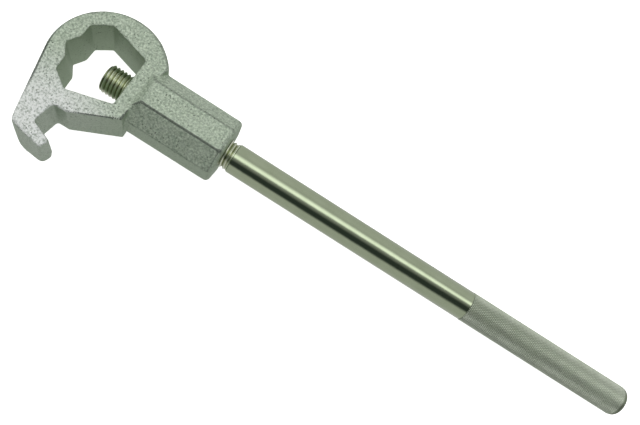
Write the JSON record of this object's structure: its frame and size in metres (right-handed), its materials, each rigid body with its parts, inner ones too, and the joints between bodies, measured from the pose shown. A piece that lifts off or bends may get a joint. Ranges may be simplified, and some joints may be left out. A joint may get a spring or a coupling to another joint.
{
  "type": "hydrant wrench",
  "caption": "Adjustable fire hydrant wrench: a cast jaw for pentagon and square nuts with a spanner hook, closed by a screw on a long knurled handle.",
  "frame": {"origin": "centre of the jaw opening, on the handle's axis, half way through the head's thickness", "axes": "+X along the handle from the jaw to the knurled grip, +Y across the head away from the spanner hook, +Z the normal of the head's front face"},
  "size_m": [0.431, 0.1032, 0.0406],
  "materials": {
    "cast_head": "sand cast ductile iron, zinc plated, fine grainy skin",
    "plated_bar": "turned steel bar, bright zinc plated, screw thread and diamond knurl"
  },
  "bodies": {
    "head": {"head": "cast_head"},
    "screw_carrier": {"handle_core": "plated_bar"},
    "handle": {"handle": "plated_bar"}
  },
  "joints": [
    {"name": "screw_travel", "type": "slide", "parent": "head", "child": "screw_carrier", "axis": [1, 0, 0], "range_m": [-0.0055, 0.0168]},
    {"name": "handle_turn", "type": "hinge", "parent": "screw_carrier", "child": "handle", "pos_m": [0.2, 0, 0], "axis": [1, 0, 0], "range_deg": [-779.5, 2381.1]}
  ],
  "couplings": [
    {"joint": "handle_turn", "follows": "screw_travel", "rad_per_m": 2473.7}
  ]
}
